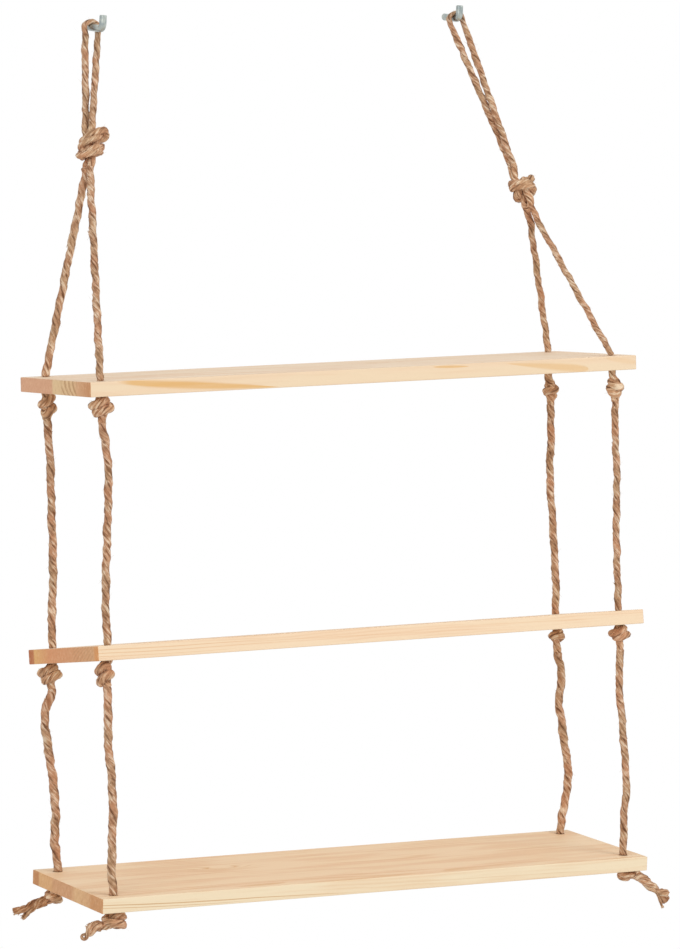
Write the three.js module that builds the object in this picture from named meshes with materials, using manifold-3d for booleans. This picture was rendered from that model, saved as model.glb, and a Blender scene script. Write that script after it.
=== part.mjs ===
// Hanging rope shelf: three pine boards on two doubled jute ropes, hung from two square-bend wall hooks.
// Millimetres, +Z up. The wall is the plane Y = 0, the shelf hangs in front of it at negative Y, and the
// origin lies on the wall midway between the two hooks.
import * as THREE from "three";
import { mergeVertices } from "three/addons/utils/BufferGeometryUtils.js";
import Module from "manifold-3d";

const wasm = await Module();
wasm.setup();

// Boards
const boardLength = 600;
const boardDepth = 150;
const boardThickness = 14;
const holeInsetEnd = 18.5;
const holeInsetEdge = 16;
const holeSides = 16;

// Where each board hangs: its drop below the board or hooks above it, and its middle's distance from the wall
const shelfOffset = 24;
const topDrop = 340;
const middleDrop = 255;
const bottomDrop = 227;
const topWallDistance = 76;
const middleWallDistance = 84;
const bottomWallDistance = 86;

// How far three of the top board's knots hang below it, where the tight hole holds the rope instead
const leftBackSlack = 3;
const rightBackSlack = 14;
const rightFrontSlack = 7;

// The boards' tilts: a positive pitch lifts the back edge, and a positive roll lifts the left end
const tiers = [
  { name: "top", drop: topDrop, wallDistance: topWallDistance, pitchDegrees: 1.6, rollDegrees: -1.75 },
  { name: "middle", drop: middleDrop, wallDistance: middleWallDistance, pitchDegrees: -4.5, rollDegrees: -1.1 },
  { name: "bottom", drop: bottomDrop, wallDistance: bottomWallDistance, pitchDegrees: 5.2, rollDegrees: -0.15 },
];

// Rope, its holes, and the gaps where it seats and where it swings
const ropeDiameter = 7.5;
const ropeSides = 8;
const ropeStep = 18;
const holeGap = 1.25;
const seatGap = 0.3;
const pivotGap = 0.5;
const wallGap = 0.55;
const pinGap = 0.75;

// Wall hooks
const hookSpacing = 395;
const hookHeightDifference = 19;
const wireDiameter = 6.6;
const wireSides = 12;
const bendRadius = 5;
const pinDistance = 28;
const pinHeight = 13.5;
const threadLength = 25;
const screwPoint = 7;
const screwPointTipShare = 0.15;
const bendLead = 1.5;

// Stopper knots: overhand knots whose turns lie one knotTurn apart, pulled tight so that the strand thins
const knotStrandShare = 0.653;
const knotTurnGap = 0.3;
const knotSides = 6;
const knotSteps = 30;
const knotCollarShare = 0.33;
const neckReachShare = 0.55;
const knotTurnStep = Math.PI / 5;

// How each stopper knot is tied: the steps that it is turned about its rope, its hand, and its slack. The
// bottom ones are turned by their tails.
const knotTies = {
  top_left_back: { turned: 0, hand: -1, slack: leftBackSlack },
  top_left_front: { turned: 9, hand: -1, slack: 0 },
  top_right_back: { turned: 4, hand: -1, slack: rightBackSlack },
  top_right_front: { turned: 8, hand: 1, slack: rightFrontSlack },
  middle_left_back: { turned: 9, hand: -1, slack: 0 },
  middle_left_front: { turned: 8, hand: -1, slack: 0 },
  middle_right_back: { turned: 3, hand: 1, slack: 0 },
  middle_right_front: { turned: 0, hand: -1, slack: 0 },
  bottom_left_back: { hand: 1, slack: 0 },
  bottom_left_front: { hand: 1, slack: 0 },
  bottom_right_back: { hand: 1, slack: 0 },
  bottom_right_front: { hand: 1, slack: 0 },
};

// Top knots: the same knot tied in the doubled rope
const topKnotStrandShare = 0.68;
const topKnotTurnGap = 0.2;
const topKnotSides = 6;
const topKnotSteps = 42;
const topKnotCollarShare = 0.4;
const leftForkLength = 18;
const rightForkLength = 8;

// Tails below the bottom board
const tailStraight = 4;
const tailStep = 6;

const ropeRadius = ropeDiameter / 2;
const knotStrand = ropeDiameter * knotStrandShare;
const knotTurn = knotStrand + knotTurnGap;
const knotCollar = ropeDiameter * knotCollarShare;
const topKnotStrand = ropeDiameter * topKnotStrandShare;
const topKnotTurn = topKnotStrand + topKnotTurnGap;
const topKnotCollar = ropeDiameter * topKnotCollarShare;
const holeRadius = ropeRadius + holeGap;
const wireRadius = wireDiameter / 2;
const halfLength = boardLength / 2;
const halfDepth = boardDepth / 2;
const halfThickness = boardThickness / 2;
const up = new THREE.Vector3(0, 0, 1);

// The four ropes of a tier, by corner. side is -1 at the left and +1 at the right, edge +1 at the back.
const corners = [
  { name: "left_back", side: -1, edge: 1 },
  { name: "left_front", side: -1, edge: -1 },
  { name: "right_back", side: 1, edge: 1 },
  { name: "right_front", side: 1, edge: -1 },
];

// How each stretch of rope between two boards strays from a straight line: [share of the drop, mm to the
// right, mm to the back].
const bows = {
  middle_left_back: [[0.16, 2, 0], [0.34, 1.5, -1], [0.6, 2.5, 0], [0.73, 2.2, 1], [0.89, -0.5, 0]],
  middle_left_front: [[0.08, 3.5, 0], [0.24, 4.8, -1], [0.5, 2, -1], [0.75, -0.5, 0], [0.9, -1, 0]],
  middle_right_back: [[0.15, -0.5, 0], [0.33, -2.3, 1], [0.5, -1.5, 0], [0.7, -0.5, -1], [0.88, 1, 0]],
  middle_right_front: [[0.15, -0.5, 0], [0.35, 0, -1], [0.6, -1, 0], [0.85, -0.7, 0]],
  bottom_left_back: [[0.07, -6.5, 0], [0.17, -8.3, 0], [0.4, -4.5, -1], [0.57, -1, 0], [0.7, -0.2, 1], [0.87, -2.2, 0]],
  bottom_left_front: [[0.12, 0.5, 0], [0.24, -0.2, 1], [0.38, 1.7, 1], [0.55, 3, 1], [0.76, 0.5, 0], [0.9, -1, 0]],
  bottom_right_back: [[0.07, 4, 0], [0.28, 0.8, 0], [0.38, 3.5, 0], [0.54, 6.8, -1], [0.66, 9.9, -1], [0.78, 8.3, 0]],
  bottom_right_front: [[0.14, -2, 0], [0.34, 0.3, -1], [0.54, 3, -1], [0.68, 4.8, 0], [0.82, 1.5, 0]],
};

// The hooks' ropes and top knots: the left rope sits against the wall and the right one against its pin.
// A knot lies knotDrop below its hook, knotOutward towards the shelf's end and knotDistance from the wall, and
// the two ropes below it part after forkLength.
const wallSeat = ropeRadius + wallGap;
const pinSeat = pinDistance - wireRadius - ropeRadius - pinGap;
const leftKnotDrop = 112;
const leftKnotOutward = 17.5;
const leftKnotDistance = 30;
const rightKnotDrop = 167;
const rightKnotOutward = 58;
const rightKnotDistance = 47.5;
const sides = [
  {
    name: "left", side: -1, hand: -1, ropeDistance: wallSeat, forkLength: leftForkLength,
    knotDrop: leftKnotDrop, knotOutward: leftKnotOutward, knotDistance: leftKnotDistance,
  },
  {
    name: "right", side: 1, hand: 1, ropeDistance: pinSeat, forkLength: rightForkLength,
    knotDrop: rightKnotDrop, knotOutward: rightKnotOutward, knotDistance: rightKnotDistance,
  },
];
const topKnotTurnedDegrees = 20;

// Tails: the reach of each one from its knot, in mm, and the way its knot lets it out seen from above.
const tails = {
  left_back: { reach: [-28, 4, -13], outDegrees: 175 },
  left_front: { reach: [-14, 4, -9], outDegrees: 165 },
  right_back: { reach: [-20, 12, -1], outDegrees: 150 },
  right_front: { reach: [37, -4, -18], outDegrees: -5 },
};

// One half of the overhand knot's route in turns, from its top end to its middle. The other half is the
// first one turned half round the Y axis.
const knotRouteShares = [
  [0, 0, 2.2], [0.2, 0, 1.6], [0.52, 0, 0.9], [0.57, 0, 0.1], [0.68, 0.1, -0.65], [0.95, -0.1, -1.25],
  [0.88, -0.8, -1.52], [0.2, -1.35, -1.18], [-0.6, -1.3, -0.72], [-1.42, -0.8, -0.4], [-1.68, 0.1, -0.2],
  [-1.05, 1, -0.06], [0, 1.24, 0],
];

// The last three points of the whole route instead, where the rope ends in a tail and leaves sideways.
const tailExitShares = [[-0.56, 0.15, -0.6], [-0.7, 0.8, -1.15], [-0.9, 1.7, -1.25]];

// The doubled knot: [route point], then the way and the distance that its two strands lie apart there.
const pairRouteShares = [
  { at: [0, 0, 4.2], apart: [0, 1, 0], spread: 0.75 },
  { at: [0.15, 0, 3.4], apart: [0, 1, 0], spread: 0.66 },
  { at: [0.5, 0, 2.4], apart: [0, 1, 0], spread: 0.5 },
  { at: [0.6, 0, 1.2], apart: [0, 1, 0], spread: 0.45 },
  { at: [0.6, 0, 0], apart: [0, 1, 0], spread: 0.45 },
  { at: [0.8, 0.1, -1.2], apart: [-0.2, 1, 0.1], spread: 0.45 },
  { at: [1.3, 0, -2.3], apart: [-0.7, 0.8, 0.3], spread: 0.45 },
  { at: [1.6, -1, -2.9], apart: [-0.9, 0.4, 0.6], spread: 0.45 },
  { at: [0.8, -2.1, -2.6], apart: [-0.6, 0.3, 0.9], spread: 0.45 },
  { at: [-0.5, -2.15, -1.7], apart: [-0.3, 0.2, 1], spread: 0.45 },
  { at: [-1.6, -1.25, -1], apart: [0, 0, 1], spread: 0.45 },
  { at: [-1.9, 0.1, -0.5], apart: [0, 0, 1], spread: 0.45 },
  { at: [-1.3, 1.4, -0.18], apart: [0, 0, 1], spread: 0.45 },
  { at: [0, 1.8, 0], apart: [0, 0, 1], spread: 0.45 },
];
const pairSamples = 10;

// Where the curved parts of the hooks and loops have their points
const bendShares = [0, 0.2, 0.4, 0.6, 0.8, 1];
const arcShares = [0, 0.1, 0.2, 0.3, 0.4, 0.5, 0.6, 0.7, 0.8, 0.9, 1];
const legShares = [0, 0.2, 0.4, 0.6, 0.8, 0.93];

// Materials
const materials = {
  pine: { color: 0xead0a8, roughness: 0.6, metalness: 0 },
  jute: { color: 0xb98b66, roughness: 0.95, metalness: 0 },
  zinc: { color: 0xa9b5ae, roughness: 0.4, metalness: 0.9 },
};

const shelf = new THREE.Group();

function addMesh(name, geometry, material, parent = shelf) {
  const mesh = new THREE.Mesh(geometry, new THREE.MeshStandardMaterial(materials[material]));
  mesh.name = name;
  parent.add(mesh);
  return mesh;
}

function toSolid(geometry) {
  const bare = geometry.clone();
  bare.deleteAttribute("normal");
  bare.deleteAttribute("uv");
  const merged = mergeVertices(bare);
  return new wasm.Manifold(
    new wasm.Mesh({
      numProp: 3,
      vertProperties: merged.attributes.position.array,
      triVerts: new Uint32Array(merged.index.array),
    }),
  );
}

function toGeometry(solid) {
  const mesh = solid.getMesh();
  const geometry = new THREE.BufferGeometry();
  geometry.setAttribute("position", new THREE.BufferAttribute(mesh.vertProperties, 3));
  geometry.setIndex(new THREE.BufferAttribute(mesh.triVerts, 1));
  geometry.computeVertexNormals();
  return geometry;
}

function join(geometries) {
  const [first, ...rest] = geometries.map(toSolid);
  return toGeometry(rest.reduce((solid, next) => solid.add(next), first));
}

// A round tube of a given radius along a curve
function tube(curve, radius, sideCount, steps) {
  const corner = (i) => {
    const angle = (i / sideCount) * Math.PI * 2;
    return new THREE.Vector2(Math.cos(angle) * radius, Math.sin(angle) * radius);
  };
  const section = new THREE.Shape(Array.from({ length: sideCount }, (_, i) => corner(i)));
  return new THREE.ExtrudeGeometry(section, { steps, bevelEnabled: false, extrudePath: curve });
}

function smooth(points) {
  return new THREE.CatmullRomCurve3(points, false, "centripetal");
}

// A curve that a tube follows in equal steps from point to point, however far apart the points are
class PointByPointCurve extends THREE.CatmullRomCurve3 {
  getUtoTmapping(u) {
    return u;
  }
}

function tubeByPoints(points, radius, sideCount) {
  const curve = new PointByPointCurve(points, false, "centripetal");
  return tube(curve, radius, sideCount, points.length - 1);
}

function ropeTube(points, step = ropeStep) {
  const curve = smooth(points);
  const steps = Math.ceil(curve.getLength() / step);
  return tube(curve, ropeRadius, ropeSides, steps);
}

function straightRope(from, to) {
  return tube(new THREE.LineCurve3(from, to), ropeRadius, ropeSides, 1);
}

// A round rope end, centred on the point that the rope turns about
function dome(centre) {
  const ball = new THREE.SphereGeometry(ropeRadius, ropeSides, ropeSides / 2);
  return ball.translate(centre.x, centre.y, centre.z);
}

// Board: a plank with a rope hole near each corner
function boardGeometry() {
  const plank = toSolid(new THREE.BoxGeometry(boardLength, boardDepth, boardThickness));
  const drill = new THREE.CylinderGeometry(holeRadius, holeRadius, boardThickness * 2, holeSides);
  drill.rotateX(Math.PI / 2);
  return toGeometry(
    corners.reduce((solid, corner) => {
      const hole = holePlace(corner);
      return solid.subtract(toSolid(drill.clone().translate(hole.x, hole.y, 0)));
    }, plank),
  );
}

function holePlace(corner) {
  return new THREE.Vector3(corner.side * (halfLength - holeInsetEnd), corner.edge * (halfDepth - holeInsetEdge), 0);
}

// Stopper knot: heights in its board's frame. Its highest turn seats against the board.
const knotTopShare = Math.max(...knotRouteShares.slice(4).map((share) => -share[2]));
const knotCentre = -halfThickness - seatGap - knotTopShare * knotTurn - knotStrand / 2;
const knotHalfHeight = knotRouteShares[0][2] * knotTurn;
const upperPivot = knotCentre - knotHalfHeight - knotCollar - seatGap - ropeRadius;
const lowerPivot = halfThickness + pivotGap + ropeRadius;

function otherHalf(points) {
  return points.slice(0, -1).reverse().map((point) => new THREE.Vector3(-point.x, point.y, -point.z));
}

// A hand of -1 mirrors the knot
function knotRoute(endsInTail, hand) {
  const half = knotRouteShares.map((share) => new THREE.Vector3(...share));
  const whole = [...half, ...otherHalf(half)];
  if (endsInTail) {
    const exit = tailExitShares.map((share) => new THREE.Vector3(...share));
    whole.splice(-exit.length, exit.length, ...exit);
  }
  return whole.map((share) => share.setX(share.x * hand).multiplyScalar(knotTurn));
}

// Where the rope leaves a knot, and the way it leaves
function knotExit(route) {
  const end = route[route.length - 1];
  const way = end.clone().sub(route[route.length - 2]).normalize();
  return { end, way };
}

// The knot, with the rope's neck up through the board's hole and a collar where the rope leaves it
function knotGeometry(route, neckTop) {
  const { end, way } = knotExit(route);
  const strand = tube(smooth(route), knotStrand / 2, knotSides, knotSteps);
  const neckBottom = new THREE.Vector3(0, 0, knotHalfHeight - neckReachShare * knotTurn);
  const neck = straightRope(new THREE.Vector3(0, 0, neckTop), neckBottom);
  const collarStart = end.clone().addScaledVector(way, -knotCollar / 2);
  const collar = straightRope(collarStart, end.clone().addScaledVector(way, knotCollar));
  return join([strand, neck, collar]);
}

// Doubled knot: two strands side by side along one route
function pairStrand(sign, hand) {
  const half = pairRouteShares.map(({ at }) => new THREE.Vector3(...at));
  const apart = pairRouteShares.map((row) => new THREE.Vector3(...row.apart).normalize());
  const spread = pairRouteShares.map((row) => row.spread);
  const route = smooth([...half, ...otherHalf(half)]);
  const ways = [...apart, ...apart.slice(0, -1).reverse().map((way) => new THREE.Vector3(way.x, -way.y, way.z))];
  const spreads = [...spread, ...spread.slice(0, -1).reverse()];
  const count = (ways.length - 1) * pairSamples;
  const points = [];
  for (let i = 0; i <= count; i++) {
    const place = (i / count) * (ways.length - 1);
    const row = Math.min(Math.floor(place), ways.length - 2);
    const blend = place - row;
    const tangent = route.getTangent(i / count);
    const way = ways[row].clone().lerp(ways[row + 1], blend);
    way.addScaledVector(tangent, -way.dot(tangent)).normalize();
    const distance = spreads[row] + (spreads[row + 1] - spreads[row]) * blend;
    const point = route.getPoint(i / count).addScaledVector(way, sign * distance).multiplyScalar(topKnotTurn);
    points.push(point.setX(point.x * hand));
  }
  return points;
}

const pairHalfHeight = pairRouteShares[0].at[2] * topKnotTurn;
const pairSpread = pairRouteShares[0].spread * topKnotTurn;

function pairEnd(sign, level) {
  return new THREE.Vector3(0, sign * pairSpread, level * (pairHalfHeight + topKnotCollar));
}

function topKnotGeometry(hand) {
  const strand = (sign) => tube(smooth(pairStrand(sign, hand)), topKnotStrand / 2, topKnotSides, topKnotSteps);
  const collars = [1, -1].flatMap((sign) =>
    [1, -1].map((level) => {
      const outer = pairEnd(sign, level);
      const inner = outer.clone().setZ(level * (pairHalfHeight - topKnotCollar / 2));
      return straightRope(inner, outer);
    }),
  );
  return join([strand(1), strand(-1), ...collars]);
}

// Hook: a wire with a screw point in the wall, a straight shank and an upturned pin
function hookGeometry() {
  const bend = (share) => {
    const angle = (share * Math.PI) / 2;
    const y = -(pinDistance - bendRadius) - Math.sin(angle) * bendRadius;
    return new THREE.Vector3(0, y, bendRadius - Math.cos(angle) * bendRadius);
  };
  const points = [
    new THREE.Vector3(0, threadLength - screwPoint, 0),
    bend(0).setY(bend(0).y + bendLead),
    ...bendShares.map(bend),
    bend(1).setZ(bendRadius + bendLead),
    new THREE.Vector3(0, -pinDistance, pinHeight),
  ];
  const wire = tubeByPoints(points, wireRadius, wireSides);
  const point = new THREE.CylinderGeometry(wireRadius * screwPointTipShare, wireRadius, screwPoint, wireSides);
  point.translate(0, threadLength - screwPoint / 2, 0);
  return join([wire, point]);
}

// A loop over the shank: down both sides of it, to the two collars of the top knot
function loopPoints(seat, axis, legs) {
  const wrap = wireRadius + seatGap + ropeRadius;
  const across = new THREE.Vector3(axis.z, 0, -axis.x).normalize();
  const over = new THREE.Vector3(-across.z, 0, across.x);
  const arc = arcShares.map((share) => {
    const angle = share * Math.PI;
    const place = across.clone().multiplyScalar(-Math.cos(angle) * wrap);
    return place.addScaledVector(over, Math.sin(angle) * wrap).add(seat);
  });
  const leg = (end, top) => legShares.map((share) => end.clone().lerp(top, share));
  const [start, finish] = legs;
  const low = (end) => end.clone().addScaledVector(axis, ropeDiameter);
  const left = [start, ...leg(low(start), arc[0])];
  const right = [finish, ...leg(low(finish), arc[arc.length - 1])];
  return [...left, ...arc, ...right.reverse()];
}

// The frames of the tiers, hung so that the ropes between two boards are plumb seen from the front
const frames = {};
let level = 0;
let plumbX = shelfOffset;
for (const tier of tiers) {
  level -= tier.drop;
  const frame = new THREE.Group();
  frame.rotation.set(THREE.MathUtils.degToRad(tier.pitchDegrees), THREE.MathUtils.degToRad(tier.rollDegrees), 0, "ZYX");
  const entry = new THREE.Vector3(0, 0, lowerPivot).applyEuler(frame.rotation);
  frame.position.set(plumbX - entry.x, -tier.wallDistance, level);
  frame.updateMatrixWorld(true);
  plumbX = frame.localToWorld(new THREE.Vector3(0, 0, upperPivot)).x;
  frames[tier.name] = frame;
  shelf.add(frame);
}

function tierPoint(tier, corner, height) {
  return frames[tier].localToWorld(holePlace(corner).setZ(height));
}

// Boards and their stopper knots
const knots = {};
for (const tier of tiers) {
  addMesh(`${tier.name}_shelf`, boardGeometry(), "pine", frames[tier.name]);
  const endsInTail = tier.name === "bottom";
  for (const corner of corners) {
    const { turned, hand, slack } = knotTies[`${tier.name}_${corner.name}`];
    const route = knotRoute(endsInTail, hand);
    const height = knotCentre - slack;
    const geometry = knotGeometry(route, halfThickness - height);
    const knot = addMesh(`${tier.name}_${corner.name}_knot`, geometry, "jute", frames[tier.name]);
    const out = knotExit(route).way;
    const tailTurn = THREE.MathUtils.degToRad(tails[corner.name].outDegrees) - Math.atan2(out.y, out.x);
    knot.position.copy(holePlace(corner).setZ(height));
    knot.rotation.z = endsInTail ? tailTurn : turned * knotTurnStep;
    knots[knot.name] = knot;
  }
}

// Rope between the boards, one stretch for each corner, with round ends at the points it swings on
for (const [above, below] of [["top", "middle"], ["middle", "bottom"]]) {
  for (const corner of corners) {
    const start = tierPoint(above, corner, upperPivot - knotTies[`${above}_${corner.name}`].slack);
    const finish = tierPoint(below, corner, lowerPivot);
    const bends = bows[`${below}_${corner.name}`].map(([share, right, back]) => {
      return start.clone().lerp(finish, share).add(new THREE.Vector3(right, back, 0));
    });
    const rope = join([ropeTube([start, ...bends, finish]), dome(start), dome(finish)]);
    addMesh(`${below}_${corner.name}_rope`, rope, "jute");
  }
}

// Hooks, loops, top knots and the ropes that fork down to the top board
for (const row of sides) {
  const shank = new THREE.Vector3((row.side * hookSpacing) / 2, 0, (row.side * hookHeightDifference) / 2);
  const hook = addMesh(`${row.name}_wall_hook`, hookGeometry(), "zinc");
  hook.position.copy(shank);

  const seat = shank.clone().setY(-row.ropeDistance);
  const knotX = shank.x + row.side * row.knotOutward;
  const middle = new THREE.Vector3(knotX, -row.knotDistance, shank.z - row.knotDrop);
  const axis = seat.clone().sub(middle).normalize();
  const knot = addMesh(`${row.name}_top_knot`, topKnotGeometry(row.hand), "jute");
  knot.quaternion.setFromUnitVectors(up, axis);
  knot.rotateZ(THREE.MathUtils.degToRad(topKnotTurnedDegrees));
  knot.position.copy(middle);
  knot.updateMatrixWorld(true);

  const knotPoint = (sign, level) => {
    const end = pairEnd(sign, level);
    end.z += level * seatGap;
    return knot.localToWorld(end);
  };
  const legs = [knotPoint(1, 1), knotPoint(-1, 1)];
  addMesh(`${row.name}_hanging_loop`, tubeByPoints(loopPoints(seat, axis, legs), ropeRadius, ropeSides), "jute");

  for (const corner of corners.filter((entry) => entry.side === row.side)) {
    const start = knotPoint(corner.edge, -1);
    const fork = start.clone().addScaledVector(axis, -row.forkLength);
    const mouth = tierPoint("top", corner, halfThickness);
    const rise = fork.clone().sub(mouth).normalize();
    const finish = mouth.addScaledVector(rise, (ropeRadius + seatGap) / rise.z);
    const middlePoint = fork.clone().lerp(finish, 0.5);
    const rope = join([ropeTube([start, fork, middlePoint, finish]), dome(finish)]);
    addMesh(`top_${corner.name}_rope`, rope, "jute");
  }
}

// Tails: the rope's loose ends below the bottom board
const tailShares = [0.3, 0.6, 1];
for (const corner of corners) {
  const knot = knots[`bottom_${corner.name}_knot`];
  knot.updateMatrixWorld(true);
  const { end, way } = knotExit(knotRoute(true, knotTies[`bottom_${corner.name}`].hand));
  const start = knot.localToWorld(end.clone().addScaledVector(way, knotCollar + seatGap));
  const lead = knot.localToWorld(end.clone().addScaledVector(way, knotCollar + seatGap + tailStraight));
  const reach = new THREE.Vector3(...tails[corner.name].reach);
  const points = [start, lead, ...tailShares.map((share) => lead.clone().addScaledVector(reach, share))];
  addMesh(`${corner.name}_tail`, ropeTube(points, tailStep), "jute");
}

export default shelf;
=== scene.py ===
from math import atan2, cos, pi, radians, sin, tan
import bpy
import numpy as np
from mathutils import Euler, Matrix, Quaternion, Vector


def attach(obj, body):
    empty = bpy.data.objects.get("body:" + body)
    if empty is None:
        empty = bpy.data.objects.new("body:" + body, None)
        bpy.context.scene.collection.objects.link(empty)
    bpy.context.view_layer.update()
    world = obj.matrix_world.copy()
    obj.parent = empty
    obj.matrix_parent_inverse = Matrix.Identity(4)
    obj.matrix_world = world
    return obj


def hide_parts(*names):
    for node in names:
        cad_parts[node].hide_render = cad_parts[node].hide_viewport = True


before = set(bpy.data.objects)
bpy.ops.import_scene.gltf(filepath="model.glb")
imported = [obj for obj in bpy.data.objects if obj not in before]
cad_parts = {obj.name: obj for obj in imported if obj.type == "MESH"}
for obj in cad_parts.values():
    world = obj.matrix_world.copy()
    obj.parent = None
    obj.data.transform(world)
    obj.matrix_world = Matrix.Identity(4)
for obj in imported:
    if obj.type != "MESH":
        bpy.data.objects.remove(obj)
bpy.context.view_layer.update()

# Hanging rope shelf: three pine boards on two doubled jute ropes, over two wall hooks.
# Sizes in the tables are millimetres in the part's frame, and mm turns them into metres.
mm = 0.001
fullTurn = 2 * pi
upright = np.array([0.0, 0, 1])

# Geometry helpers


def unit(vectors):
    return vectors / np.linalg.norm(vectors, axis=-1, keepdims=True)


def smoothStep(low, high, values):
    share = np.clip((values - low) / (high - low), 0, 1)
    return share * share * (3 - 2 * share)


def lengthAlong(path):
    return np.concatenate([[0], np.cumsum(np.linalg.norm(np.diff(path, axis=0), axis=1))])


def smoothPath(points, step):
    # A centripetal Catmull-Rom curve through the points, its ends mirrored outwards, cut into equal steps
    points = np.asarray(points, float)
    padded = np.vstack([2 * points[0] - points[1], points, 2 * points[-1] - points[-2]])
    gap = np.linalg.norm(np.diff(padded, axis=0), axis=1) ** 0.5
    share = np.linspace(0, 1, 24, endpoint=False)[None, :, None]
    p0, p1, p2, p3 = (padded[i:len(padded) - 3 + i, None, :] for i in range(4))
    g0, g1, g2 = (gap[i:len(gap) - 2 + i, None, None] for i in range(3))
    rise1 = ((p1 - p0) / g0 - (p2 - p0) / (g0 + g1) + (p2 - p1) / g1) * g1
    rise2 = ((p2 - p1) / g1 - (p3 - p1) / (g1 + g2) + (p3 - p2) / g2) * g1
    a = 2 * (p1 - p2) + rise1 + rise2
    b = -3 * (p1 - p2) - 2 * rise1 - rise2
    fine = (((a * share + b) * share + rise1) * share + p1).reshape(-1, 3)
    fine = np.vstack([fine, points[-1]])
    along = lengthAlong(fine)
    even = np.linspace(0, along[-1], max(4, int(round(along[-1] / step)) + 1))
    return np.stack([np.interp(even, along, fine[:, i]) for i in range(3)], axis=1)


def carriedFrame(path, firstNormal=(0.31, 0.9, 0.17)):
    # Tangents by differences, and a normal carried along the path without turning about it
    tangent = unit(np.gradient(path, axis=0))
    guess = np.array(firstNormal, float)
    normals = []
    for way in tangent:
        guess = guess - way * (guess @ way)
        guess = guess / np.linalg.norm(guess)
        normals.append(guess)
    normal = np.array(normals)
    return tangent, normal, np.cross(tangent, normal)


def wander(along, size, wave, draws):
    # A slow smooth drift: three sines of falling size with drawn phases
    total = np.zeros_like(along)
    for i in range(3):
        total += size / (i + 1) * np.sin(along / wave * (i + 1) * fullTurn + draws[i] * fullTurn)
    return total


def anglesRound(count):
    return np.arange(count) / count * fullTurn


def ringWays(angle, first, second):
    # Directions round a line, cos(a) first + sin(a) second, from two that are square to it
    return np.cos(angle)[..., None] * first[..., None, :] + np.sin(angle)[..., None] * second[..., None, :]


def ringAt(centre, first, second, count):
    return ringWays(anglesRound(count), *np.array([first, second])) + centre


def tubeShell(grid):
    # A grid of rings x sides x 3 made into one closed shell: quads facing out, and a face over each end
    rings, sides = grid.shape[:2]
    i, j = np.meshgrid(np.arange(rings - 1), np.arange(sides), indexing="ij")
    low, high, after = i * sides, (i + 1) * sides, (j + 1) % sides
    quads = np.stack([low + j, low + after, high + after, high + j], axis=-1)
    ends = [np.arange(sides)[::-1], (rings - 1) * sides + np.arange(sides)]
    return grid.reshape(-1, 3), quads.reshape(-1, 4).tolist() + [end.tolist() for end in ends]


def tubeUv(along, sides):
    # u runs with the length in centimetres, v once round the tube
    i, j = np.meshgrid(np.arange(len(along) - 1), np.arange(sides), indexing="ij")
    u, v, nextV = along * 0.1, j / sides, (j + 1) / sides
    corners = np.stack([u[i], v, u[i], nextV, u[i + 1], nextV, u[i + 1], v], axis=-1)
    caps = [np.full((sides, 2), (u[end], 0.5)) for end in (0, -1)]
    return np.vstack([corners.reshape(-1, 2), *caps])


def joined(shells):
    points, faces, first = [], [], 0
    for more, moreFaces in shells:
        faces += [[index + first for index in face] for face in moreFaces]
        points.append(more)
        first += len(more)
    return np.vstack(points), faces


def newObject(name, data):
    made = bpy.data.objects.new(name, data)
    bpy.context.scene.collection.objects.link(made)
    return made


def newMesh(name, points, faces):
    mesh = bpy.data.meshes.new(name)
    mesh.from_pydata(points.tolist(), [], faces)
    return newObject(name, mesh)


def newPiece(name, shell, material, body, node=None, uv=None, smooth=True):
    points, faces = shell
    piece = newMesh(name, points * mm, faces)
    if uv is not None:
        piece.data.uv_layers.new(name="rope").data.foreach_set("uv", np.float32(uv).ravel())
    if smooth:
        piece.data.shade_smooth()
    piece.data.materials.append(material)
    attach(piece, body)
    if node:
        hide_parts(node)
    return piece


# Shader helpers


def colour(code):
    # A screen colour's hex code as the linear colour that a shader takes
    parts = [int(code[i:i + 2], 16) / 255 for i in (0, 2, 4)]
    return tuple((p / 12.92 if p <= 0.04045 else ((p + 0.055) / 1.055) ** 2.4) for p in parts) + (1.0,)


class Finish:
    # The node tree of a new material, or of another block
    def __init__(self, name, block=None):
        self.block = block or bpy.data.materials.new(name)
        self.block.use_nodes = True
        self.tree = self.block.node_tree
        self.tree.nodes.clear()

    def node(self, kind, sockets=None, out=0, **settings):
        made = self.tree.nodes.new("ShaderNode" + kind)
        for key, value in settings.items():
            setattr(made, key, value)
        for key, value in (sockets or {}).items():
            if isinstance(value, Value):
                self.tree.links.new(value.socket, made.inputs[key])
            else:
                made.inputs[key].default_value = colour(value) if isinstance(value, str) else value
        return Value(self, made.outputs[out]) if made.outputs else made

    def maths(self, operation, *values):
        return self.node("Math", dict(enumerate(values)), operation=operation)

    def mix(self, share, first, second):
        return self.node("Mix", {0: share, 6: first, 7: second}, out=2, data_type="RGBA")

    def place(self):
        return self.node("TexCoord", out="Object")

    def noise(self, place, scale=1.0, detail=2.0, rough=0.5):
        return self.node("TexNoise", {"Vector": place, "Scale": scale, "Detail": detail, "Roughness": rough})

    def vector(self, x, y, z):
        return self.node("CombineXYZ", {0: x, 1: y, 2: z})

    def parts(self, vector):
        split = self.node("SeparateXYZ", {0: vector}).socket.node
        return [Value(self, out) for out in split.outputs]

    def bump(self, height, strength, distance):
        return self.node("Bump", {"Strength": strength, "Distance": distance, "Height": height})

    def seenRays(self):
        # 1 for a ray that shows a surface, straight, mirrored or through glass, and 0 for one that lights it
        kinds = ("Camera", "Glossy", "Transmission")
        straight, mirrored, through = (self.node("LightPath", out=f"Is {kind} Ray") for kind in kinds)
        return straight + mirrored + through

    def surface(self, shader):
        self.node("OutputMaterial", {"Surface": shader})
        return self.block

    def solid(self, sockets):
        return self.surface(self.node("BsdfPrincipled", sockets))

    def glowing(self, share, under):
        # White light over another shader
        glow = self.node("Emission", {"Color": "ffffff", "Strength": 1.0})
        return self.surface(self.node("MixShader", {0: share, 1: under, 2: glow}))


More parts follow.
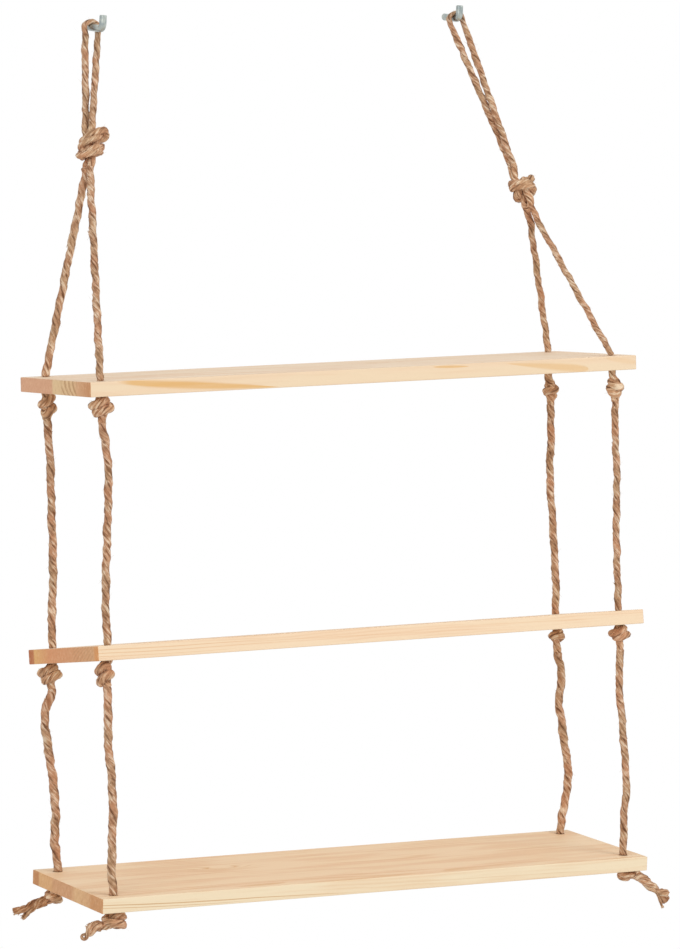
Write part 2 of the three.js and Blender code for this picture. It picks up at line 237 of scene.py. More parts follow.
class Value:
    # A socket that takes part in Python arithmetic: each operator adds its Math node
    def __init__(self, finish, socket):
        self.node, self.maths, self.socket = finish.node, finish.maths, socket

    def ease(self, low, high):
        # 0 below low, 1 above high, smooth between them. High may be the lower one.
        return self.node("MapRange", {0: self, 1: low, 2: high}, interpolation_type="SMOOTHSTEP")


operators = {"add": "ADD", "sub": "SUBTRACT", "mul": "MULTIPLY", "truediv": "DIVIDE", "pow": "POWER"}
changes = {
    "floor": "FLOOR", "fract": "FRACT", "size": "ABSOLUTE", "sine": "SINE", "cosine": "COSINE", "root": "SQRT",
}
for word, kind in operators.items():
    setattr(Value, f"__{word}__", lambda self, other, kind=kind: self.maths(kind, self, other))
    setattr(Value, f"__r{word}__", lambda self, other, kind=kind: self.maths(kind, other, self))
for word, kind in changes.items():
    setattr(Value, word, lambda self, kind=kind: self.maths(kind, self))

# Camera

photoView = {
    "place": (-2195.6, -4046.3, -294.2), "yaw": 29.274, "pitch": -1.814, "roll": -0.555,
    "lens": 178.1, "clipEnd": 50,
}


def makeCamera(view):
    yaw, pitch, roll = (radians(view[key]) for key in ("yaw", "pitch", "roll"))
    ahead = np.array([sin(yaw) * cos(pitch), cos(yaw) * cos(pitch), sin(pitch)])
    level = np.array([cos(yaw), -sin(yaw), 0])
    rise = np.cross(level, ahead)
    right = cos(roll) * level + sin(roll) * rise
    top = -sin(roll) * level + cos(roll) * rise
    camera = newObject("camera", bpy.data.cameras.new("camera"))
    turned = Matrix((right, top, -ahead)).transposed().to_4x4()
    camera.matrix_world = Matrix.Translation(Vector(view["place"]) * mm) @ turned
    camera.data.lens = view["lens"]
    camera.data.clip_end = view["clipEnd"]
    bpy.context.scene.camera = camera


makeCamera(photoView)
print("camera placed")

# Where everything hangs, as in the part's source

boards = {
    "top": {"centre": (24.343, -76, -340), "pitch": 1.6, "roll": -1.75},
    "middle": {"centre": (25.646, -84, -595), "pitch": -4.5, "roll": -1.1},
    "bottom": {"centre": (26.357, -86, -822), "pitch": 5.2, "roll": -0.15},
}
corners = {
    "left_back": (-281.5, 59), "left_front": (-281.5, -59), "right_back": (281.5, 59), "right_front": (281.5, -59),
}
board = {"length": 600, "depth": 150, "thickness": 14, "edge": 0.9, "hole": 4.5, "rim": 0.3}
upperPivot = -35.608    # where a rope starts under a board
lowerPivot = 11.25      # where it ends over the next one
knotCentre = -17.649
firstSeed = {"stretch": 10, "loop": 30, "doubleKnot": 34, "topRope": 40, "stopper": 50, "tail": 70, "fuzz": 500}

# How each stopper knot is tied: steps of 36 degrees that it is turned, its hand, how far it hangs below its
# seat, how wide and how tall it is pulled, its strand's radius, and how far it sits to the right
stopperRows = {
    "top_left_back": (0, -1, 3, 0.64, 0.96, 4.3, 1.4),
    "top_left_front": (9, -1, 0, 0.93, 0.68, 4.4, 0.5),
    "top_right_back": (4, -1, 14, 0.52, 0.84, 4.0, 1.6),
    "top_right_front": (8, 1, 7, 0.62, 0.7, 4.7, 3.8),
    "middle_left_back": (9, -1, 0, 0.9, 0.72, 4.3, -5.0),
    "middle_left_front": (8, -1, 0, 0.7, 0.94, 4.4, -4.7),
    "middle_right_back": (3, 1, 0, 0.6, 0.43, 3.9, -1.3),
    "middle_right_front": (0, -1, 0, 0.84, 0.54, 4.0, -1.8),
    "bottom_left_back": (0, 1, 0, 0.84, 0.7, 3.5, -4.0),
    "bottom_left_front": (0, 1, 0, 1.2, 0.7, 4.1, 1.0),
    "bottom_right_back": (0, 1, 0, 0.9, 0.6, 3.5, 0.0),
    "bottom_right_front": (0, 1, 0, 0.95, 0.35, 3.1, 5.0),
}
stopperFields = ("turn", "hand", "slack", "wide", "tall", "strand", "aside")
stoppers = {name: dict(zip(stopperFields, row)) for name, row in stopperRows.items()}
exitShare = 0.8         # how much of a knot's shift to the right its leaving rope takes


def boardAngles(name):
    return radians(boards[name]["pitch"]), radians(boards[name]["roll"]), 0


def onBoard(name, points):
    return points @ np.array(Euler(boardAngles(name)).to_matrix()).T + boards[name]["centre"]


# Jute: the rope's finish, read from its own map (length in cm, share of the way round)

rope = {
    "lay": 54, "strand": 0.76, "sides": 72, "step": 0.8, "roundEnd": 2.2,
    "relief": 0.17, "drift": 0.3, "swell": 0.035, "plump": 0.06,
    "driftWaves": (31, 37), "swellWave": 44, "plumpWave": 19, "settle": 10,
}
knotSides = 54

# The rope's radius, which its pull changes: in each loop, in each strand above the top board, and in each
# strand below it, there times a share for the tier
ropeRadius = {
    "left": 3.4, "right": 3.35,
    "top_left_back": 3.85, "top_left_front": 3.65, "top_right_back": 3.3, "top_right_front": 3.15,
    "left_back": 4.1, "left_front": 3.95, "right_back": 4.05, "right_front": 3.65,
    "middle": 0.96, "bottom": 1.03,
}


def juteFinish(name, light, middle, dark, grooveShade):
    # The map's second number turns with the strands, so a share of the lay is taken back and the fibres
    # lie nearly along the rope
    f = Finish(name)
    length, around, _ = f.parts(f.node("UVMap", uv_map="rope"))
    groove = ((around * 3.0).fract() - 0.5).size() * 2.0
    turn = (around + length * (10 / rope["lay"] * 0.8)) * fullTurn
    fibre = f.noise(f.vector(length * 0.5, turn.cosine() * 2.6, turn.sine() * 2.6), 2.6, 3.0, 0.6)
    yarn = f.noise(f.vector(length * 0.75, turn.cosine() * 0.95, turn.sine() * 0.95), 1.5, 2.0, 0.55)
    place = f.place()
    patch = f.noise(place, 48.0, 2.0, 0.55)
    spot = f.noise(place, 170.0, 1.0)
    tone = yarn * 0.58 + fibre * 0.22 + spot * 0.2
    base = f.mix(tone.ease(0.36, 0.53), dark, middle)
    base = f.mix(tone.ease(0.5, 0.63), base, light)
    base = f.mix(patch.ease(0.46, 0.68) * 0.35, base, "c0a27c")
    base = f.mix(patch.ease(0.5, 0.32) * 0.45, base, "ce926c")
    # Painted shade: the grooves between the strands are darkened towards the shade colour, where the yarn noise
    # allows
    base = f.mix(groove.ease(0.6, 1.0) * yarn.ease(0.62, 0.4) * 0.75, base, grooveShade)
    height = yarn * 0.6 + fibre * 0.5 - groove.ease(0.7, 1.0) * 0.25
    return f.solid({
        "Base Color": base, "Roughness": 0.8 + fibre * 0.2, "Specular IOR Level": 0.25, "Sheen Weight": 0.12,
        "Normal": f.bump(height, 0.9, 0.0011),
    })


def fuzzFinish():
    f = Finish("juteFuzz")
    patch = f.noise(f.place(), 300.0, 1.0)
    base = f.mix(patch.ease(0.35, 0.65), "a97f5a", "e2c4a0")
    bump = f.bump(patch, 0.3, 0.0002)
    return f.solid({"Base Color": base, "Roughness": 0.85, "Sheen Weight": 0.2, "Normal": bump})


# The fourth colour of each jute is the painted shade in the grooves between its strands
jute = juteFinish("jute", "f0d8bd", "c89b78", "86583a", "5e3b22")
knotJute = juteFinish("juteKnot", "f6debf", "d4a47d", "8f5f40", "64402a")
# A darker copy of the jute for the left back tail: painted shade, for the shade that tail hangs in
shadedTailJute = juteFinish("juteTailShaded", "e4c4a0", "be885e", "804f2f", "553519")
juteFuzz = fuzzFinish()


def fibreRelief(along, angle, draws):
    # Ridges of loose yarn, the sum of sines with 4 to 20 waves round the rope, each leaning and
    # swelling on its own: a sin(m (angle + lean x) + 2 pi x / wave + start)
    total = 0
    for number, waves in enumerate((4, 5, 7, 9, 11, 14, 17, 20)):
        lean = (draws[number] - 0.35) * 0.09
        wave = 14 + 30 * draws[number + 8]
        start = draws[number + 16] * fullTurn
        phase = waves * (angle + lean * along[:, None]) + along[:, None] * fullTurn / wave + start
        total = total + np.sin(phase) / waves ** 0.5
    return total


def ropeSurface(path, radius, phase, seed, sides=rope["sides"], flat=(1, 1), **frameStart):
    # Three strands laid left-handed: seen in section, the outline of three overlapping circles,
    # r(a) = R (c cos a + sqrt(s^2 - c^2 sin^2 a)) with a measured from the nearest strand, turning once
    # in each lay length, and ridges of yarn over it
    draws = np.random.default_rng(seed).random(48)
    _, normal, side = carriedFrame(path, **frameStart)
    along = lengthAlong(path)
    fromEnd = np.minimum(along, along[-1] - along)
    first, second = rope["driftWaves"]
    drift = wander(along, rope["drift"], first, draws[:3])[:, None] * normal
    drift += wander(along, rope["drift"], second, draws[3:6])[:, None] * side
    centre = path + drift * smoothStep(0, rope["settle"], fromEnd)[:, None]
    angle = anglesRound(sides)
    strandPlace = angle * 3 / fullTurn + 0.5
    lobe = strandPlace % 1 - 0.5
    across = lobe * fullTurn / 3
    core = 1 - rope["strand"]
    outline = core * np.cos(across) + np.sqrt(rope["strand"] ** 2 - (core * np.sin(across)) ** 2)
    each = [wander(along, rope["plump"], rope["plumpWave"] + 4 * i, draws[6 + 3 * i:9 + 3 * i]) for i in range(3)]
    plump = np.stack(each, axis=1)[:, np.floor(strandPlace).astype(int) % 3]
    blend = 1 - (2 * np.abs(lobe)) ** 4
    size = radius * (1 + wander(along, rope["swell"], rope["swellWave"], draws[18:21]))
    grid = outline * (1 + plump * blend) * size[:, None]
    grid += rope["relief"] * fibreRelief(along, angle, draws[21:])
    grid = grid * np.sqrt(1 - (1 - np.clip(fromEnd / rope["roundEnd"], 0.02, 1)) ** 2)[:, None]
    turned = angle - along[:, None] * fullTurn / rope["lay"] + phase
    return centre[:, None] + grid[..., None] * ringWays(turned, normal * flat[0], side * flat[1]), along


def makeRope(name, path, body, node, seed, radius, phase, finish=jute, **more):
    grid, along = ropeSurface(path, radius, phase * seed, seed, **more)
    uv = tubeUv(along + seed * 40, grid.shape[1])
    return newPiece(name, tubeShell(grid), finish, body, node, uv), grid


def makeTubes(centres, radii, sides):
    # Many thin closed tubes at once, along centres of tubes x points x 3
    way = unit(np.gradient(centres, axis=1))
    helper = np.where(np.abs(way[..., 2:3]) < 0.9, upright, np.array([1.0, 0, 0]))
    first = unit(np.cross(way, helper))
    ring = ringWays(anglesRound(sides), first, np.cross(way, first))
    points = centres[..., None, :] + radii[..., None, None] * ring
    tubes, rings = centres.shape[:2]
    starts = np.arange(tubes)[:, None, None] * rings * sides
    one = tubeShell(points[0])[1]
    faces = []
    for part in (np.array(one[:-2]), np.array(one[-2:])):
        faces += (part[None] + starts).reshape(-1, part.shape[1]).tolist()
    return points.reshape(-1, 3), faces


fuzz = {
    "fine": {"perCentimetre": 4.0, "lengths": (1.5, 5.0), "radius": 0.1, "lift": (0.15, 0.9), "sides": 3},
    "snag": {"perCentimetre": 0.35, "lengths": (2.6, 5.5), "radius": 0.55, "lift": (0.2, 0.5), "sides": 6},
}


def strayFibres(grid, draws, kind, density, keepOff):
    # Each fibre leaves the rope along its length and curls away,
    # p(t) = root + L (t along + lift t^1.6 out + curl t^2 across)
    rings, sides = grid.shape[:2]
    middle = grid.mean(axis=1)
    count = max(2, int(lengthAlong(middle)[-1] / 10 * kind["perCentimetre"] * density))
    margin = int(rings * 0.05)
    i = draws.integers(margin + keepOff + 2, rings - 3 - margin, count)
    j = draws.integers(0, sides, count)
    surface = grid[i, j]
    out = unit(surface - middle[i])
    along = unit(middle[i + 1] - middle[i - 1]) * draws.choice([-1, 1], count)[:, None]
    across = np.cross(out, along)
    shortest, longest = kind["lengths"]
    size = shortest + (longest - shortest) * draws.random(count) ** 2.2
    least, most = kind["lift"]
    lift = (least + (most - least) * draws.random(count))[:, None, None]
    curl = (draws.random(count) - 0.5)[:, None, None]
    t = np.linspace(0, 1, 6)[None, :, None]
    root = (surface - out * kind["radius"] * 1.1 - along * size[:, None] * 0.2)[:, None]
    reach = t * along[:, None] + lift * t ** 1.6 * out[:, None] + curl * t ** 2 * across[:, None]
    centres = root + size[:, None, None] * reach
    radii = kind["radius"] * (1 - 0.8 * t[..., 0] ** 1.5) * np.ones((count, 1))
    return makeTubes(centres, radii, kind["sides"])


def makeFuzz(name, grid, body, seed, density=1.0, keepOff=0):
    draws = np.random.default_rng(seed + firstSeed["fuzz"])
    shells = [strayFibres(grid, draws, kind, density, keepOff) for kind in fuzz.values()]
    return newPiece(name, joined(shells), juteFuzz, body)


def layRope(name, strayName, path, body, *facts, **more):
    # A taut stretch of rope with its stray fibres
    piece, grid = makeRope(name, path, body, *facts, **more)
    stray = [makeFuzz(strayName, grid, body, facts[1])]


# Stretches of rope between two boards

# How each one bows: shares of its length, with the place there to the right and to the back
bows = {
    "middle_left_back": [(0.16, 2, 0), (0.34, 1.5, -1), (0.6, 2.5, 0), (0.73, 2.2, 1), (0.89, -0.5, 0)],
    "middle_left_front": [(0.08, 3.5, 0), (0.24, 4.8, -1), (0.5, 2, -1), (0.75, -0.5, 0), (0.9, -1, 0)],
    "middle_right_back": [(0.15, -0.5, 0), (0.33, -2.3, 1), (0.5, -1.5, 0), (0.7, -0.5, -1), (0.88, 1, 0)],
    "middle_right_front": [(0.15, -0.5, 0), (0.35, 0, -1), (0.6, -1, 0), (0.85, -0.7, 0)],
    "bottom_left_back": [
        (0.07, -6.5, 0), (0.17, -8.3, 0), (0.4, -4.5, -1), (0.57, -1, 0), (0.7, -0.2, 1), (0.87, -2.2, 0),
    ],
    "bottom_left_front": [
        (0.12, 0.5, 0), (0.24, -0.2, 1), (0.38, 1.7, 1), (0.55, 3, 1), (0.76, 0.5, 0), (0.9, -1, 0),
    ],
    "bottom_right_back": [
        (0.07, 4, 0), (0.28, 0.8, 0), (0.38, 3.5, 0), (0.54, 6.8, -1), (0.66, 9.9, -1), (0.78, 8.3, 0),
    ],
    "bottom_right_front": [(0.14, -2, 0), (0.34, 0.3, -1), (0.54, 3, -1), (0.68, 4.8, 0), (0.82, 1.5, 0)],
}
intoKnot = 5.5
intoHole = 5.4


def makeStretch(name, seed):
    below, corner = name.split("_", 1)
    above = "top" if below == "middle" else "middle"
    upper = stoppers[f"{above}_{corner}"]
    start = onBoard(above, (*corners[corner], upperPivot - upper["slack"])) + [upper["aside"] * exitShare, 0, 0]
    finish = onBoard(below, (*corners[corner], lowerPivot))
    bends = [start + (finish - start) * share + [right, back, 0] for share, right, back in bows[name]]
    line = [start + upright * intoKnot, start, *bends, finish, finish - upright * intoHole]
    layRope(f"{name}_strand_rope", f"{name}_fibres", smoothPath(line, rope["step"]), f"{name}_strand",
            f"{name}_rope", seed, ropeRadius[corner] * ropeRadius[below], phase=1.3)


for number, name in enumerate(bows):
    makeStretch(name, firstSeed["stretch"] + number)
print("ropes between the boards made")

# Hooks' loops, top knots and the ropes that fork down to the top board

# A side's row says where its loop sits on the hook, where its knot is, how the loop is pressed and opens, and
# how the knot's core is turned, pulled and tipped between its two ends
sides = {
    "left": {
        "seat": (-197.5, -4.3, -9.5), "knot": (-215, -30, -121.5), "thin": 0.78, "wrap": 5.1,
        "open": (0.92, 0.88), "fork": 3, "hand": -1, "coreTurn": -40, "endTurn": 0, "ends": (9, -10), "strand": 3.35,
        "wide": 0.94, "up": 0.9, "down": 0.72, "lean": 0.34, "aside": 3.8, "part": 1.4, "tip": 0.0,
    },
    "right": {
        "seat": (197.5, -20.2, 9.5), "knot": (255.5, -47.5, -157.5), "thin": 0.6, "wrap": 5.4,
        "open": (1.0, 1.0), "fork": 8, "hand": 1, "coreTurn": 115, "endTurn": 180, "ends": (-31, 0), "strand": 3.6,
        "wide": 0.96, "up": 0.45, "down": 0.52, "lean": 0.1, "aside": 2.4, "part": 1.35, "tip": -0.36,
    },
}
topKnot = {
    "turn": 5.3, "turned": 20, "collar": 3.0, "gap": 0.3, "spread": 0.75, "height": 4.2, "step": 0.12, "every": 14,
    "fade": 16,
}
# The doubled knot's first half: places, the way from one strand to the other there, and half their distance
pairRoute = [
    ((0, 0, 4.2), (0, 1, 0), 0.75), ((0.15, 0, 3.4), (0, 1, 0), 0.66), ((0.5, 0, 2.4), (0, 1, 0), 0.5),
    ((0.6, 0, 1.2), (0, 1, 0), 0.45), ((0.6, 0, 0), (0, 1, 0), 0.45), ((0.8, 0.1, -1.2), (-0.2, 1, 0.1), 0.45),
    ((1.3, 0, -2.3), (-0.7, 0.8, 0.3), 0.45), ((1.6, -1, -2.9), (-0.9, 0.4, 0.6), 0.45),
    ((0.8, -2.1, -2.6), (-0.6, 0.3, 0.9), 0.45), ((-0.5, -2.15, -1.7), (-0.3, 0.2, 1), 0.45),
    ((-1.6, -1.25, -1), (0, 0, 1), 0.45), ((-1.9, 0.1, -0.5), (0, 0, 1), 0.45),
    ((-1.3, 1.4, -0.18), (0, 0, 1), 0.45), ((0, 1.8, 0), (0, 0, 1), 0.45),
]
loopShape = {
    "halfWidth": 7.35, "intoKnot": 7, "rise": 7.5, "shares": (0, 0.25, 0.5, 0.7, 0.88), "pressed": (8, 22),
    "widens": 0.7,
}
topRope = {"intoKnot": 6, "shares": (0.12, 0.3, 0.65), "clear": 3.75 + 0.3}
hook = {
    "radius": 3.5, "pinDistance": 28, "bend": 5, "pinHeight": 13.2, "tilt": 7, "chamfer": 0.7, "sides": 48,
    "thread": 25, "point": 7, "pitch": 2.4, "threadDepth": 0.55, "straight": (12, 4, -4, -12, -19), "step": 0.22,
}


def knotAxis(row):
    return unit(np.subtract(row["seat"], row["knot"]))


def atTopKnot(row, points):
    turn = Vector((0, 0, 1)).rotation_difference(Vector(knotAxis(row)))
    turn = turn @ Quaternion((0, 0, 1), radians(topKnot["turned"]))
    return points @ np.array(turn.to_matrix()).T + row["knot"]


def pairEnd(row, sign, level):
    # Where a strand leaves the knot above it (level 1) or below it (level -1)
    height = topKnot["height"] * topKnot["turn"] + topKnot["collar"] + topKnot["gap"]
    apart = sign * topKnot["spread"] * topKnot["turn"]
    turn = radians(row["ends"][0 if level > 0 else 1])
    return np.array([-sin(turn) * apart, cos(turn) * apart, level * height])


def pairStrand(sign, row):
    # Two strands side by side along one overhand route, whose second half is the first one turned over.
    # The core is then mirrored, turned, widened and pulled together as the row says, and its ends are not.
    half, ways, spreads = (np.array(part, float) for part in zip(*pairRoute))
    flip = np.array([-1, 1, -1])
    points = np.vstack([half, half[-2::-1] * flip])
    ways = np.vstack([ways, ways[-2::-1] * -flip])
    spreads = np.concatenate([spreads, spreads[-2::-1]])
    even = smoothPath(points, topKnot["step"])
    place = lengthAlong(points) / lengthAlong(points)[-1]
    share = np.linspace(0, 1, len(even))
    tangent = unit(np.gradient(even, axis=0))
    way = np.stack([np.interp(share, place, unit(ways)[:, i]) for i in range(3)], axis=1)
    way = unit(way - tangent * np.sum(way * tangent, axis=1, keepdims=True))
    core = smoothStep(0.02, 0.16, np.minimum(share, 1 - share))
    spread = np.interp(share, place, spreads) * (1 + (row["part"] - 1) * core)
    points = (even + way * sign * spread[:, None]) * topKnot["turn"] * [row["hand"], 1, 1]
    ends = row["endTurn"] + np.where(share < 0.5, *row["ends"])
    turned = np.radians(ends + (row["coreTurn"] - ends) * core)
    x = points[:, 0] * np.cos(turned) - points[:, 1] * np.sin(turned)
    y = points[:, 0] * np.sin(turned) + points[:, 1] * np.cos(turned)
    grow = 1 + (row["wide"] - 1) * core
    z = points[:, 2] * (1 + (np.where(points[:, 2] > 0, row["up"], row["down"]) - 1) * core)
    z = z + row["tip"] * x * core
    return np.stack([x * grow + (row["lean"] * z + row["aside"]) * core, y * grow, z], axis=1)


def loopPath(row):
    # Up from the knot, half round the hook's wire and down again
    seat = np.array(row["seat"], float)
    seat[2] += (seat[1] + hook["pinDistance"]) * tan(radians(hook["tilt"]))
    axis = knotAxis(row)
    across = unit(np.array([axis[2], 0, -axis[0]]))
    over = np.array([-across[2], 0, across[0]])
    angle = np.linspace(0, pi, 11)[:, None]
    arc = seat - np.cos(angle) * loopShape["halfWidth"] * across + np.sin(angle) * row["wrap"] * over
    feet = [pairEnd(row, sign, 1) for sign in (1, -1)]
    ends = [atTopKnot(row, foot) for foot in feet]
    low = [end + axis * loopShape["rise"] for end in ends]
    bottom, top = (low[0] + low[1]) / 2, (arc[0] + arc[-1]) / 2
    strands = []
    for number, tip in enumerate((arc[0], arc[-1])):
        strand = [atTopKnot(row, feet[number] - upright * loopShape["intoKnot"]), ends[number]]
        for share in loopShape["shares"]:
            apart = row["open"][0] * share ** row["open"][1]
            between = (low[number] - bottom) * (1 - apart)
            strand.append(bottom + (top - bottom) * share + between + (tip - top) * apart)
        strands.append(strand)
    return smoothPath([*strands[0], *arc, *strands[1][::-1]], rope["step"]), across, seat


def makeLoop(name, row, seed):
    path, across, seat = loopPath(row)
    pressed = 1 - smoothStep(*loopShape["pressed"], np.linalg.norm(path - seat, axis=1))[:, None]
    thin = 1 - (1 - row["thin"]) * pressed
    wide = 1 + (1 - row["thin"]) * loopShape["widens"] * pressed
    layRope(f"{name}_rope_loop", f"{name}_loop_fibres", path, "top_tier", f"{name}_hanging_loop", seed,
            ropeRadius[name], phase=0.6, flat=(thin, wide), firstNormal=across)


def makeTopKnot(name, row, seed):
    grids, uv = [], []
    for number, sign in enumerate((1, -1)):
        end = -sign if row["endTurn"] else sign
        core = pairStrand(sign, row)[::topKnot["every"]]
        line = np.vstack([pairEnd(row, end, 1), core, pairEnd(row, end, -1)])
        path = smoothPath(atTopKnot(row, line), rope["step"])
        along = lengthAlong(path)
        inside = smoothStep(0, topKnot["fade"], np.minimum(along, along[-1] - along))
        radius = row["strand"] + (ropeRadius[name] - row["strand"]) * (1 - inside)
        grids.append(ropeSurface(path, radius, 0.9 * seed + number, seed + number, knotSides)[0])
        uv.append(tubeUv(along + 30 * (seed + number), knotSides))
    shell = joined([tubeShell(grid) for grid in grids])
    newPiece(f"{name}_double_knot", shell, knotJute, "top_tier", f"{name}_top_knot", np.vstack(uv))
    for number, grid in enumerate(grids):
        makeFuzz(f"{name}_double_knot_fibres_{number + 1}", grid, "top_tier", seed + 60 + number, density=0.8)


def makeTopRope(row, corner, seed):
    foot = pairEnd(row, 1 if corner.endswith("back") else -1, -1)
    start = atTopKnot(row, foot)
    fork = start - knotAxis(row) * row["fork"]
    mouth = onBoard("top", (*corners[corner], board["thickness"] / 2))
    rise = unit(fork - mouth)
    finish = mouth + rise * topRope["clear"] / rise[2]
    line = [atTopKnot(row, foot + upright * topRope["intoKnot"]), start, fork]
    line += [fork + (finish - fork) * share for share in topRope["shares"]]
    path = smoothPath([*line, finish, finish - rise * intoHole], rope["step"])
    name = f"top_{corner}"
    layRope(f"{name}_hanging_rope", f"{name}_fibres", path, "top_tier", f"{name}_rope", seed,
            ropeRadius[name], phase=0.8)


for side, (name, row) in enumerate(sides.items()):
    makeLoop(name, row, firstSeed["loop"] + side)
    for number, corner in enumerate(corners):
        if corner.startswith(name):
            makeTopRope(row, corner, firstSeed["topRope"] + number)
    makeTopKnot(name, row, firstSeed["doubleKnot"] + 2 * side)
print("loops, top knots and top ropes made")

# Stopper knots under the boards

knot = {
    "turn": 5.1975, "collar": 2.475, "step": 36, "top": 1.52, "cadStrand": 2.45, "exit": 1.5, "tailExit": 4,
    "neckFade": 8, "exitFade": (9, 2), "bare": 6,
}
knotRoute = [
    (0, 0, 2.2), (0.2, 0, 1.6), (0.52, 0, 0.9), (0.57, 0, 0.1), (0.68, 0.1, -0.65), (0.95, -0.1, -1.25),
    (0.88, -0.8, -1.52), (0.2, -1.35, -1.18), (-0.6, -1.3, -0.72), (-1.42, -0.8, -0.4), (-1.68, 0.1, -0.2),
    (-1.05, 1, -0.06), (0, 1.24, 0),
]
tailExit = [(-0.56, 0.15, -0.6), (-0.7, 0.8, -1.15), (-0.9, 1.7, -1.25)]
tails = {
    "left_back": {"reach": (-27, 4, -8), "out": 175, "thick": 1.15, "waist": 0},
    "left_front": {"reach": (-15, 4, -7), "out": 165, "thick": 1.15, "waist": 0},
    "right_back": {"reach": (-20, 12, -1), "out": 150, "thick": 1.0, "waist": 0},
    "right_front": {"reach": (37, -4, -18), "out": -5, "thick": 1.12, "waist": 0.45},
}


def knotLine(endsInTail, hand=1):
    half = np.array(knotRoute, float)
    whole = np.vstack([half, half[-2::-1] * [-1, 1, -1]])
    if endsInTail:
        whole = np.vstack([whole[:-len(tailExit)], tailExit])
    return whole * [hand, 1, 1] * knot["turn"]


def knotTurned(name):
    tier, corner = name.split("_", 1)
    if tier == "bottom":
        line = knotLine(True)
        way = line[-1] - line[-2]
        return radians(tails[corner]["out"]) - atan2(way[1], way[0])
    return radians(stoppers[name]["turn"] * knot["step"])


def atKnot(name, points):
    tier, corner = name.split("_", 1)
    turn = knotTurned(name)
    about = np.array([[cos(turn), -sin(turn), 0], [sin(turn), cos(turn), 0], [0, 0, 1]])
    return onBoard(tier, points @ about.T + [*corners[corner], knotCentre - stoppers[name]["slack"]])


def pulledKnot(name):
    # The knot's line pulled to its own width and height. One that seats against its board keeps its top there.
    row = stoppers[name]
    endsInTail = name.startswith("bottom")
    line = knotLine(endsInTail, row["hand"])
    lift = (1 - row["tall"]) * knot["top"] * knot["turn"] - (row["strand"] - knot["cadStrand"])
    turn, aside = knotTurned(name), row["aside"]
    shift = np.array([aside * cos(turn), -aside * sin(turn), 0 if row["slack"] else lift])
    pulled = line * [row["wide"], row["wide"], row["tall"]] + shift
    pulled[0] = line[0]
    if not endsInTail:
        pulled[-1] = line[-1] + shift * [exitShare, exitShare, 0]
    return pulled


def makeKnot(name, seed):
    tier, corner = name.split("_", 1)
    row = stoppers[name]
    line = pulledKnot(name)
    neck = board["thickness"] / 2 - knotCentre + row["slack"]
    neckLength = neck - line[0][2]
    lead = [(0, 0, neck), (0, 0, (neck + line[0][2]) / 2)]
    past = knot["collar"] + knot["tailExit" if tier == "bottom" else "exit"]
    after = [line[-1] + unit(line[-1] - line[-2]) * past]
    path = smoothPath(atKnot(name, np.vstack([lead, line, after])), rope["step"])
    along = lengthAlong(path)
    full = 1 - smoothStep(neckLength, neckLength + knot["neckFade"], along)
    first, last = knot["exitFade"]
    full = np.maximum(full, smoothStep(along[-1] - first, along[-1] - last, along))
    radius = row["strand"] + (ropeRadius[corner] - row["strand"]) * full
    _, grid = makeRope(f"{name}_stopper_knot", path, f"{tier}_tier", f"{name}_knot", seed, radius, phase=0.7,
                       finish=knotJute, sides=knotSides)
    keepOff = int((neckLength + knot["bare"]) / rope["step"])
    makeFuzz(f"{name}_knot_fibres", grid, f"{tier}_tier", seed, density=0.7, keepOff=keepOff)


for number, name in enumerate(stoppers):
    makeKnot(name, firstSeed["stopper"] + number)
print("stopper knots made")

# Tails: the rope's loose ends, whose strands open and fray

tailShape = {
    "straight": 3, "openFrom": 0.5, "offset": 2.1, "radius": 2.5, "sides": 20, "step": 0.6, "gap": 0.3, "lay": 40,
    "inside": 3, "plainExit": 4, "shares": (0.3, 0.6, 1), "waist": (0.68, 0.09),
}
tailYarn = {"count": 16, "radius": 0.45, "sides": 5, "sideways": 0.55, "stray": 0.35, "bend": 0.22, "least": 2.0}

# For each of a tail's three strands: how far its end stands off the tail's line, its radius there, how much
# of the tail it follows, how long its yarns stand out, and the radius that its end curls to
tailStrands = {
    "left_back": [
        ((-3, 0, 4.5), 3.3, 0.97, 0.8, 0), ((0, -1, 1.5), 3.2, 0.95, 0.8, 0), ((6, 1, -4.5), 2.3, 0.92, 1.2, 0),
    ],
    "left_front": [
        ((6, 0, 6.5), 3.2, 0.82, 0.6, 0), ((5, -1, 1.5), 3.3, 0.86, 0.6, 0), ((4, 1, -2), 1.7, 0.9, 0.3, 2.2),
    ],
    "right_back": [((-2, 2, 2), 2.4, 0.95, 2, 0), ((-2, -2, 0), 2.4, 0.95, 2, 0), ((2, 1, -2), 2.4, 0.95, 2, 0)],
    "right_front": [
        ((0, 0, 5.0), 4.5, 0.95, 0.3, 0), ((0, -1, 0.2), 4.5, 0.97, 0.3, 0), ((-4, 1, -9), 1.1, 0.94, 0.8, 0),
    ],
}


def strandGrid(centre, radius, along, seed):
    # A strand's tube, r(a) = R (1 + small ridges that turn with its length), drawn in at both ends
    tangent, normal, side = carriedFrame(centre)
    angle = anglesRound(tailShape["sides"])
    twist = angle + along[:, None] * 0.2
    ripple = 1 + 0.08 * np.sin(5 * twist + seed) + 0.05 * np.sin(8 * twist)
    ripple = ripple + 0.05 * np.sin(3 * twist - along[:, None] * 0.5)
    fromEnd = np.clip(np.minimum(along / 1.5, (along[-1] - along) / 1.2), 0.04, 1)
    size = radius[:, None] * ripple * np.sqrt(1 - (1 - fromEnd[:, None]) ** 2)
    return centre[:, None] + size[..., None] * ringWays(angle, normal, side), tangent, normal, side


def curled(centre, radius, curl):
    # The strand's end turned up and over through three quarters of a circle, growing thinner
    way = unit(centre[-1] - centre[-3])
    side = unit(upright - way * way[2])
    turn = np.linspace(0, 0.75 * fullTurn, 24)[1:, None]
    ring = centre[-1] + side * curl + (np.sin(turn) * way - np.cos(turn) * side) * curl
    return np.vstack([centre, ring]), np.concatenate([radius, np.linspace(radius[-1], radius[-1] * 0.6, len(ring))])


